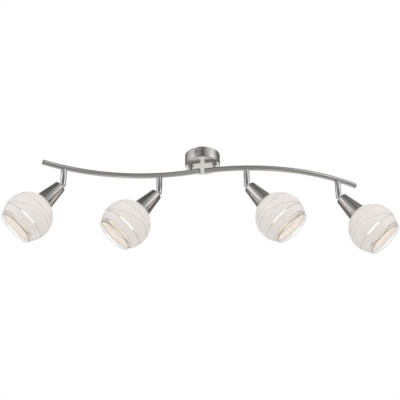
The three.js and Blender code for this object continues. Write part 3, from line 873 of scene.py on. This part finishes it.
def arm_tube(side, place):
    """Its mesh is turned to the line between the tube's ends, which keeps its box tight."""
    steps = 60
    count = 48
    chord = Matrix.Rotation(ARM_CHORD_TURN, 4, "Z")
    places = [-ARM_INNER + (ARM_INNER + ARM_OUTER) * i / steps for i in range(steps + 1)]
    stations = [(places[0], ARM_R - FINE_EDGE), (places[0] + FINE_EDGE, ARM_R)]
    stations += [(distance, ARM_R) for distance in places[1:-1]]
    stations += [(places[-1] - FINE_EDGE, ARM_R), (places[-1], ARM_R - FINE_EDGE)]
    stations += [(distance, ARM_R - ARM_WALL) for distance in reversed(places)]
    rings = [[chord.inverted() @ point for point in arm_ring(*station, count)] for station in stations]
    tube = lofted(f"arm_tube_{side}_drawn", rings, place @ chord)
    cut(tube, prism("post_hole", circle(0, 0, POST_BORE_R, 24), 0.0, 2 * ARM_R, place, "Z"))
    for distance in STEM_PLACES.values():
        x, y, _ = on_arm(distance)
        cut(tube, prism("rivet_hole", circle(x, y, RIVET_HOLE_R, 24), -2 * ARM_R, 0.0, place, "Z"))
    finished(tube, "nickel_drawn", "satin_nickel", f"arm_{side}", f"arm_tube_{side}")


def arm_post(side, place):
    top = POST_TOP_Z - ARM_Z
    low = ARM_R / 2
    outline = rounded([(POST_BORE_R, low), (POST_R, low), (POST_R, top, EDGE), (POST_BORE_R, top)])
    post = turned(f"arm_post_{side}_turned", outline, place, 48)
    weld = 0.0001
    along_arm = place @ Matrix.Rotation(math.pi / 2, 4, "Z")
    pierce(post, circle(0, 0, ARM_R + weld, 64), along_arm)
    finished(post, "chrome", "chrome", f"arm_{side}", f"arm_post_{side}")


def post_nut(side, place):
    """A six-sided nut with a round flange. Its sides run a little way into the flange."""
    foot = FLOOR_TOP + GAP - ARM_Z
    waist = foot + NUT_FLANGE_HEIGHT
    head = waist + NUT_HEIGHT
    overlap = 0.0005
    nut = prism(f"post_nut_{side}_pressed", circle(0, 0, NUT_R, 6), waist - overlap, head, place, "Z")
    chamfer = [
        (0, waist - 2 * overlap),
        (NUT_CHAMFER_FOOT_R, waist - 2 * overlap),
        (NUT_CHAMFER_FOOT_R, head - NUT_CHAMFER_HEIGHT),
        (NUT_CHAMFER_TOP_R, head),
        (0, head),
    ]
    keep_inside(nut, turned("chamfer", chamfer, place, 64))
    flange_edge = 0.0002
    flange = rounded([
        (0, foot),
        (NUT_FLANGE_R, foot, flange_edge),
        (NUT_FLANGE_R, waist, 2 * flange_edge),
        (0, waist),
    ])
    join(nut, turned("flange", flange, place, 64))
    pitch = 0.001
    low = foot - pitch
    high = head + pitch
    bore = [(0, low)] + thread(POST_R + 0.0005, low, high, pitch, depth=0.0004) + [(0, high)]
    cut(nut, turned("bore", bore, place, 48))
    finished(nut, "zinc", "zinc_steel", f"arm_{side}", f"post_nut_{side}")


def end_cap(side, name, distance, outwards, place):
    x, y, angle = on_arm(distance)
    tilt = Matrix.Rotation(angle, 4, "Z") @ Matrix.Rotation(outwards * math.pi / 2, 4, "Y")
    plug = ARM_R - ARM_WALL - GAP
    seam_edge = 0.0001
    outline = rounded([
        (0, -END_CAP_PLUG),
        (plug, -END_CAP_PLUG, EDGE),
        (plug, GAP),
        (ARM_R, GAP, seam_edge),
        (ARM_R, END_CAP_THICKNESS, END_CAP_EDGE),
        (0, END_CAP_THICKNESS),
    ])
    cap = turned(f"{name}_{side}_turned", outline, place @ Matrix.Translation((x, y, 0)) @ tilt, 48)
    finished(cap, "nickel_cup", "satin_nickel", f"arm_{side}", f"{name}_{side}")


def build_arm(side, inner_lamp):
    place = arm_frame(side, inner_lamp)
    arm_tube(side, place)
    arm_post(side, place)
    post_nut(side, place)
    end_cap(side, "end_cap_inner", -ARM_INNER, -1, place)
    end_cap(side, "end_cap_outer", ARM_OUTER, 1, place)


# --- Stems ---


def stem(lamp, place):
    top = -ARM_R - GAP
    bottom = -PIVOT_DROP - STEM_R
    low = bottom - PROUD
    wide = 2 * STEM_R
    top_edge = 0.0005
    outline = rounded([(0, low), (STEM_R, low), (STEM_R, top, top_edge), (0, top)])
    made = turned(f"stem_{lamp}_turned", outline, place, 64)
    foot = circle(0, -PIVOT_DROP, STEM_R, 48, math.pi, 2 * math.pi)
    foot += [(wide, -PIVOT_DROP), (wide, 0), (-wide, 0), (-wide, -PIVOT_DROP)]
    keep_inside(made, prism("foot", foot, -wide, wide, place))
    slot_top = -PIVOT_DROP + FORK_SLOT_RISE
    half = FORK_SLOT / 2
    cut(made, box("fork", (-wide, -half, low), (wide, half, slot_top), place))
    pierce(made, circle(0, -PIVOT_DROP, PIVOT_SCREW_R + GAP, 24), place)
    lead_bore = circle(0, 0, STEM_BORE_R, 24)
    cut(made, prism("lead_bore", lead_bore, slot_top - PROUD, top + PROUD, place, "Z"))
    sink = circle(0, -PIVOT_DROP, PIVOT_HEAD_R + GAP, 32)
    for side in SIDES.values():
        depths = sorted((side * (STEM_R - PIVOT_HEAD_HEIGHT - GAP), side * (STEM_R + PROUD)))
        cut(made, prism("sink", sink, *depths, place))
    milled_edge = 0.00025
    bevelled(made, milled_edge)
    finished(made, "chrome", "chrome", f"swivel_{lamp}", f"stem_{lamp}")


def pivot_screw(lamp, place):
    """A screw and sleeve along Y, with a slotted head sunk in each cheek of the fork."""
    reach = STEM_R - PIVOT_HEAD_SUNK
    inner = reach - PIVOT_HEAD_HEIGHT
    outline = rounded([
        (0, -reach),
        (PIVOT_HEAD_R, -reach, FINE_EDGE),
        (PIVOT_HEAD_R, -inner),
        (PIVOT_SCREW_R, -inner),
        (PIVOT_SCREW_R, inner),
        (PIVOT_HEAD_R, inner),
        (PIVOT_HEAD_R, reach, FINE_EDGE),
        (0, reach),
    ])
    along = place @ Matrix.Translation((0, 0, -PIVOT_DROP)) @ Matrix.Rotation(-math.pi / 2, 4, "X")
    screw = turned(f"pivot_screw_{lamp}_turned", outline, along, 48)
    for side in SIDES.values():
        low, high = sorted((side * (reach - PIVOT_SLIT_DEPTH), side * (reach + PROUD)))
        half = PIVOT_SLIT_HALF_WIDTH
        cut(screw, box("slit", (-ACROSS, -half, low), (ACROSS, half, high), along))
    finished(screw, "chrome", "chrome", f"swivel_{lamp}", f"pivot_screw_{lamp}")


# --- Heads ---

CUP_END = GLOBE_PLACE - math.sqrt(GLOBE_R ** 2 - (CUP_LARGE_R - CUP_WALL) ** 2) - GAP


def cup_radius(place):
    return CUP_SMALL_R + (CUP_LARGE_R - CUP_SMALL_R) * (place - CUP_TOP) / (CUP_END - CUP_TOP)


def knuckle(lamp, place):
    """A flat tongue with a round end, and a threaded stud that it runs a little way into."""
    half = TONGUE_THICKNESS / 2
    shoulder = STUD_START + 0.0004
    outline = circle(0, 0, TONGUE_R, 48, 0, -math.pi)
    outline += [(-TONGUE_NECK_HALF, shoulder), (TONGUE_NECK_HALF, shoulder)]
    tongue = prism(f"knuckle_{lamp}_turned", outline, -half, half, place)
    pierce(tongue, circle(0, 0, PIVOT_SCREW_R + GAP, 24), place)
    bevelled(tongue, FINE_EDGE)
    stud = [(0, STUD_START)]
    stud += thread(STUD_R, STUD_START, STUD_END, pitch=0.001, depth=0.0003)
    stud += [(0, STUD_END)]
    join(tongue, turned("stud", stud, place, 48))
    finished(tongue, "chrome", "chrome", f"head_{lamp}", f"knuckle_{lamp}")


def cone_cup(lamp, place):
    bore = STUD_R + GAP
    ceiling = CUP_TOP + CUP_FLOOR
    outline = rounded([
        (bore, CUP_TOP, EDGE),
        (CUP_SMALL_R, CUP_TOP, CUP_EDGE_R),
        (CUP_LARGE_R, CUP_END, FINE_EDGE),
        (CUP_LARGE_R - CUP_WALL, CUP_END, FINE_EDGE),
        (cup_radius(ceiling) - CUP_WALL, ceiling, SMOOTH_EDGE),
        (bore, ceiling),
    ], 6)
    cup = turned(f"cone_cup_{lamp}_spun", outline, place, 128)
    finished(cup, "nickel_cup", "satin_nickel", f"head_{lamp}", f"cone_cup_{lamp}")


def lampholder(lamp, place):
    bore = STUD_R + GAP
    outline = rounded([
        (bore, HOLDER_TOP),
        (HOLDER_NOSE_R, HOLDER_TOP, EDGE),
        (HOLDER_NOSE_R, HOLDER_NOSE_END, EDGE),
        (HOLDER_BODY_R, HOLDER_NOSE_END, HOLDER_EDGE_R),
        (HOLDER_BODY_R, HOLDER_SKIRT_START - HOLDER_SKIRT_SLOPE, EDGE),
        (HOLDER_SKIRT_R, HOLDER_SKIRT_START, SMOOTH_EDGE),
        (HOLDER_SKIRT_R, HOLDER_END, SMOOTH_EDGE),
        (HOLDER_SOCKET_R, HOLDER_END, EDGE),
        (HOLDER_SOCKET_R, HOLDER_SOCKET_START),
        (bore, HOLDER_SOCKET_START),
    ])
    holder = turned(f"lampholder_{lamp}_moulded", outline, place, 64)
    finished(holder, "plastic", "white_plastic", f"head_{lamp}", f"lampholder_{lamp}")


def shade_ring(lamp, place):
    """The ring that holds the glass, with finger scallops in its edge."""
    inner_glass = GLOBE_R - GLASS
    top = GLOBE_PLACE - math.sqrt(inner_glass ** 2 - RING_R ** 2) + RING_CLEARANCE
    bottom = top + RING_HEIGHT
    bore = HOLDER_SKIRT_R + GAP
    ring_edge = 0.001
    outline = rounded([(bore, top), (RING_R, top, EDGE), (RING_R, bottom, ring_edge), (bore, bottom, EDGE)])
    rings = []
    for radius, height in outline:
        depth = RING_SCALLOP_DEPTH if radius > bore + PROUD else 0.0
        points = []
        for turn in full_turn(SHADE_SEGMENTS):
            scallop = depth * max(0.0, math.cos(RING_SCALLOPS * turn)) ** 2
            points.append(polar(radius - scallop, turn, height))
        rings.append(points)
    ring = lofted(f"shade_ring_{lamp}_moulded", rings, place)
    finished(ring, "plastic", "white_plastic", f"head_{lamp}", f"shade_ring_{lamp}")


# The decor of a shade is three clear lines in its white coat. Heights are counted from the globe's
# centre towards the mouth, as shares of its radius.
UPPER_LINE = -0.445
LOWER_LINE = 0.265
LINE_HALF_WIDTH = 0.0008
LINE_DEPTH = 0.00035
COAT_END = 0.575
WAVE_MIDDLE = 0.10
WAVE_SWING = 0.254
WAVE_CREST = math.radians(142.6)
WAVE_RIPPLE = 0.091  # a second, twofold wave on the first
WAVE_RIPPLE_CREST = math.radians(59)
WAVE_HIGHEST = 0.24
WAVE_STIFFNESS = 40


def wave_line(angle):
    """The height of the line that swings across the globe. It levels off at its highest."""
    swing = WAVE_MIDDLE + WAVE_SWING * math.cos(angle - WAVE_CREST)
    swing += WAVE_RIPPLE * math.cos(2 * (angle - WAVE_RIPPLE_CREST))
    free, held = (math.exp(-WAVE_STIFFNESS * height) for height in (swing, WAVE_HIGHEST))
    return -math.log(free + held) / WAVE_STIFFNESS


def shade_column(radius, angle, groove):
    """(radius, height, band) points down one side of the glass, from its neck to its coat's end."""
    half = LINE_HALF_WIDTH / GLOBE_R
    points = []

    def stretch(start, end, steps, band):
        for i in range(steps):
            share = i / steps
            depth = groove * 4 * share * (1 - share) if band == "line" else 0.0
            turn = start + (end - start) * share
            points.append(((radius - depth) * math.sin(turn), (radius - depth) * math.cos(turn), band))

    previous = math.pi - math.asin(NECK_R / radius)
    for height, steps in ((UPPER_LINE, 14), (wave_line(angle), 12), (LOWER_LINE, 8)):
        middle = math.acos(height)
        stretch(previous, middle + half, steps, "satin")
        stretch(middle + half, middle - half, 4, "line")
        previous = middle - half
    coat_end = math.acos(COAT_END)
    stretch(previous, coat_end + half, 7, "satin")
    stretch(coat_end + half, coat_end, 1, "line")
    stretch(coat_end, math.acos(FLARE_START / radius), 2, "lip")
    return points


def lip_column(radius, rim_radius):
    """(radius, height, band) points of the clear, flared lip."""
    rim_height = MOUTH_PLACE - RIM_HALF_HEIGHT
    flare = rim_radius - math.sqrt(radius ** 2 - MOUTH_PLACE ** 2)
    curl = 1.5
    steps = 8
    points = []
    for i in range(steps + 1):
        height = FLARE_START + (rim_height - FLARE_START) * i / steps
        share = (height - FLARE_START) / (MOUTH_PLACE - FLARE_START)
        points.append((math.sqrt(radius ** 2 - height ** 2) + flare * share ** curl, height, "lip"))
    return points


def rim_column(outer_end, inner_end):
    """(radius, height, band) points of the half round between the lip's walls. Its outer part gets
    the rim glass, whose dark tint is painted shade for the dark edge that glass shows edge on."""
    middle = (outer_end[0] + inner_end[0]) / 2
    half = (outer_end[0] - inner_end[0]) / 2
    painted_shade_turn = 0.9
    steps = 8
    points = []
    for i in range(1, steps):
        turn = math.pi * i / steps
        height = outer_end[1] + RIM_HALF_HEIGHT * math.sin(turn)
        points.append((middle + half * math.cos(turn), height, "rim" if turn < painted_shade_turn else "lip"))
    return points


def shade_outline(angle):
    """The glass cut open at one angle: down the outside, round the rim and up the inside."""
    inner = GLOBE_R - GLASS
    outside = shade_column(GLOBE_R, angle, LINE_DEPTH) + lip_column(GLOBE_R, MOUTH_R)
    inside = shade_column(inner, angle, 0.0) + lip_column(inner, MOUTH_R - GLASS)
    rim = rim_column(outside[-1], inside[-1])
    outside[-1] = (*outside[-1][:2], "rim")
    # Going back up the inside, a stretch takes its band from the point where it ends.
    back = inside[::-1]
    bands = [band for _, _, band in back[1:] + back[-1:]]
    return outside + rim + [(*point[:2], band) for point, band in zip(back, bands)]


def glass_shade(lamp, place):
    """Blown glass: a white coated globe with clear lines and a clear, slightly flared lip."""
    mirrored = 1 if leans_right(lamp) else -1
    turns = full_turn(SHADE_SEGMENTS)
    columns = [shade_outline(mirrored * turn) for turn in turns]
    rings = []
    for row in zip(*columns):
        sides = zip(turns, row)
        rings.append([polar(radius, turn, GLOBE_PLACE + height) for turn, (radius, height, _) in sides])
    shade = lofted(f"glass_shade_{lamp}_blown", rings, place)
    bands = ["satin", "line", "lip", "rim"]
    for band in bands:
        shade.data.materials.append(MATERIALS[band])
    row_bands = [bands.index(band) for _, _, band in columns[0]]
    for number, face in enumerate(shade.data.polygons):
        face.material_index = row_bands[number // SHADE_SEGMENTS]
    finished(shade, None, "opal_glass", f"head_{lamp}", f"glass_shade_{lamp}", sharp=50)


def bulb(lamp, place):
    """A round bulb on a slim neck, blown to one wall thickness."""
    start = HOLDER_END + GAP
    centre = start + BULB_LENGTH - BULB_R
    turns = [BULB_NECK_TURN * (1 - i / 24) for i in range(25)]
    globe = [(BULB_R * math.sin(turn), centre + BULB_R * math.cos(turn)) for turn in turns]
    shoulder = Vector(globe[0])
    foot = Vector((BULB_NECK_R, start))
    waist = Vector((BULB_NECK_R + 0.0006, (start + shoulder.y) / 2))
    outside = [bent(foot, waist, shoulder, i / 6) for i in range(6)] + globe[:-1]
    tip = globe[-1][1]
    drop = BULB_WALL * 0.6
    inside = [(max(radius - BULB_WALL, 0.0), height - drop) for radius, height in reversed(outside)]
    outline = outside + [(0.0, tip), (0.0, tip - BULB_WALL)] + inside
    glass = turned(f"bulb_glass_{lamp}_blown", outline, place, 64)
    finished(glass, "bulb", "bulb_glass", f"head_{lamp}", f"bulb_glass_{lamp}")


def bulb_cap(lamp, place):
    """The screw cap, from the contact at its tip to the bulb."""
    end = HOLDER_END
    start = end - BULB_CAP_LENGTH
    outline = [(0, start - 0.0024), (0.0022, start - 0.0022), (0.003, start - 0.001)]
    outline.append((BULB_CAP_R - 0.001, start + 0.001))
    thread_start = start + 0.003
    thread_end = end - 0.004
    outline += thread(BULB_CAP_R, thread_start, thread_end, BULB_CAP_THREAD_PITCH, BULB_CAP_THREAD_DEPTH)
    outline += [(BULB_CAP_R, end - 0.003), (BULB_CAP_R, end), (0, end)]
    cap = turned(f"bulb_cap_{lamp}_rolled", outline, place, 48)
    finished(cap, "brass", "brass", f"head_{lamp}", f"bulb_cap_{lamp}")


def build_lamp(lamp):
    stem_place = stem_frame(lamp)
    stem(lamp, stem_place)
    pivot_screw(lamp, stem_place)
    place = head_frame(lamp)
    for part in (knuckle, cone_cup, lampholder, shade_ring, glass_shade, bulb, bulb_cap):
        part(lamp, place)


# --- The whole fixture ---


def refinish_kept_nodes():
    """The leads and rivets, which are hidden inside the tubes, keep their own meshes."""
    kept = {"arm_lead_left": "lead", "arm_lead_right": "lead"}
    kept.update({f"swivel_rivet_{lamp}": "zinc" for lamp in range(1, 5)})
    for name, material in kept.items():
        node = frame["nodes"][name]
        node.data.materials.clear()
        node.data.materials.append(MATERIALS[material])


def build_fixture():
    canopy_cup()
    side_screws()
    earth_screw()
    ceiling_bracket()
    terminal_block()
    post_collars()
    build_arm("left", 2)
    build_arm("right", 3)
    for lamp in range(1, 5):
        build_lamp(lamp)
    refinish_kept_nodes()


build_fixture()

# --- Camera, light and floor ---

CAMERA_DISTANCE = 2.7
CAMERA_ELEVATION = math.radians(-32.6)
CAMERA_LENS = 106.1
CAMERA_SENSOR = 36.0
CAMERA_SHIFT_X = -0.006375
CAMERA_SHIFT_Y = -0.1103
FLOOR_Z = -2.4
FLOOR_HALF = 6.0


def add_camera():
    data = bpy.data.cameras.new("camera")
    data.lens = CAMERA_LENS
    data.sensor_width = CAMERA_SENSOR
    data.shift_x = CAMERA_SHIFT_X
    data.shift_y = CAMERA_SHIFT_Y
    camera = bpy.data.objects.new("camera", data)
    bpy.context.scene.collection.objects.link(camera)
    away = Vector((0, -math.cos(CAMERA_ELEVATION), math.sin(CAMERA_ELEVATION)))
    camera.location = CAMERA_DISTANCE * away
    camera.rotation_euler = (math.pi / 2 - CAMERA_ELEVATION, 0, 0)
    bpy.context.scene.camera = camera


def add_floor():
    half = FLOOR_HALF
    corners = [(-half, -half, 0), (half, -half, 0), (half, half, 0), (-half, half, 0)]
    floor = mesh_piece("floor", corners, [[0, 1, 2, 3]], Matrix.Translation((0, 0, FLOOR_Z)))
    graph = new_graph("floor_pale")
    place, _ = graph.place()
    tone = graph.mix_colours(graph.noise(place, 3.0), colour(0.84, 0.84, 0.83), colour(0.81, 0.81, 0.80))
    floor.data.materials.append(graph.output(graph.principled(Base_Color=tone, Roughness=0.8)))
    floor.visible_glossy = False


def add_softbox(name, side):
    """A square light in front, above and to one side of the fixture."""
    place = Vector((side * 1.25, -0.75, 0.25))
    target = Vector((side * 0.1, 0, -0.1))
    data = bpy.data.lights.new(name, "AREA")
    data.shape = "SQUARE"
    data.size = 0.8
    data.energy = 1.2
    light = bpy.data.objects.new(name, data)
    light.location = place
    light.rotation_euler = (target - place).to_track_quat("-Z", "Y").to_euler()
    light.visible_camera = False
    bpy.context.scene.collection.objects.link(light)


# What glossy surfaces see round the fixture: the room's even level and soft lights in it, each an
# azimuth from the front towards +X, a height above the horizon, a spread, all in degrees, and a level.
ROOM_LEVEL = 0.04
MATT_LEVEL = 1.14  # what matt surfaces see on all sides
SOFT_LIGHTS = [
    ("left window", -72, 22, 20, 0.69),
    ("left window, far end", -108, 34, 14, 0.39),
    ("left wall, low", -48, -10, 28, 0.38),
    ("right window", 60, 34, 20, 0.75),
    ("right window, far end", 84, 22, 14, 0.46),
    ("right wall, low", 48, 10, 14, 0.26),
    ("left wall, high", -26, 38, 9, 0.22),
    ("right wall, high", 26, 38, 9, 0.22),
    ("over the back", 168, 50, 14, 0.86),
    ("ground at the back", 180, -33, 28, 0.98),
    ("ground at the front", 12, -60, 28, 0.35),
]


def unit(azimuth, height):
    """The direction at an azimuth from -Y towards +X and a height, in degrees."""
    turn, rise = math.radians(azimuth), math.radians(height)
    return math.cos(rise) * math.sin(turn), -math.cos(rise) * math.cos(turn), math.sin(rise)


def add_world():
    """A white room for the camera and for matt surfaces. Glossy ones see a dim room with soft
    lights in it."""
    world = bpy.data.worlds.new("studio")
    bpy.context.scene.world = world
    graph = Graph(world)
    direction = graph.node("ShaderNodeTexCoord").outputs["Generated"]
    level = ROOM_LEVEL
    for _, azimuth, height, spread, strength in SOFT_LIGHTS:
        facing = graph.node("ShaderNodeVectorMath", operation="DOT_PRODUCT")
        graph.feed(facing.inputs[0], direction)
        graph.feed(facing.inputs[1], unit(azimuth, height))
        sharpness = 1.0 / math.radians(spread) ** 2
        falloff = graph.math("MULTIPLY", graph.math("SUBTRACT", facing.outputs["Value"], 1.0), sharpness)
        lobe = graph.math("MULTIPLY", graph.math("EXPONENT", falloff), strength)
        level = graph.math("ADD", lobe, level)
    studio = graph.combine(level, level, level)
    path = graph.node("ShaderNodeLightPath")
    matt_room = colour(MATT_LEVEL, MATT_LEVEL, MATT_LEVEL)
    room = graph.mix_colours(path.outputs["Is Glossy Ray"], matt_room, studio)
    seen = graph.mix_colours(path.outputs["Is Camera Ray"], room, colour(1.0, 1.0, 1.0))
    background = graph.node("ShaderNodeBackground")
    graph.feed(background.inputs["Color"], seen)
    graph.output(background, "ShaderNodeOutputWorld")


add_camera()
add_floor()
add_softbox("softbox_right", 1)
add_softbox("softbox_left", -1)
add_world()
bpy.context.scene.view_settings.view_transform = "Standard"
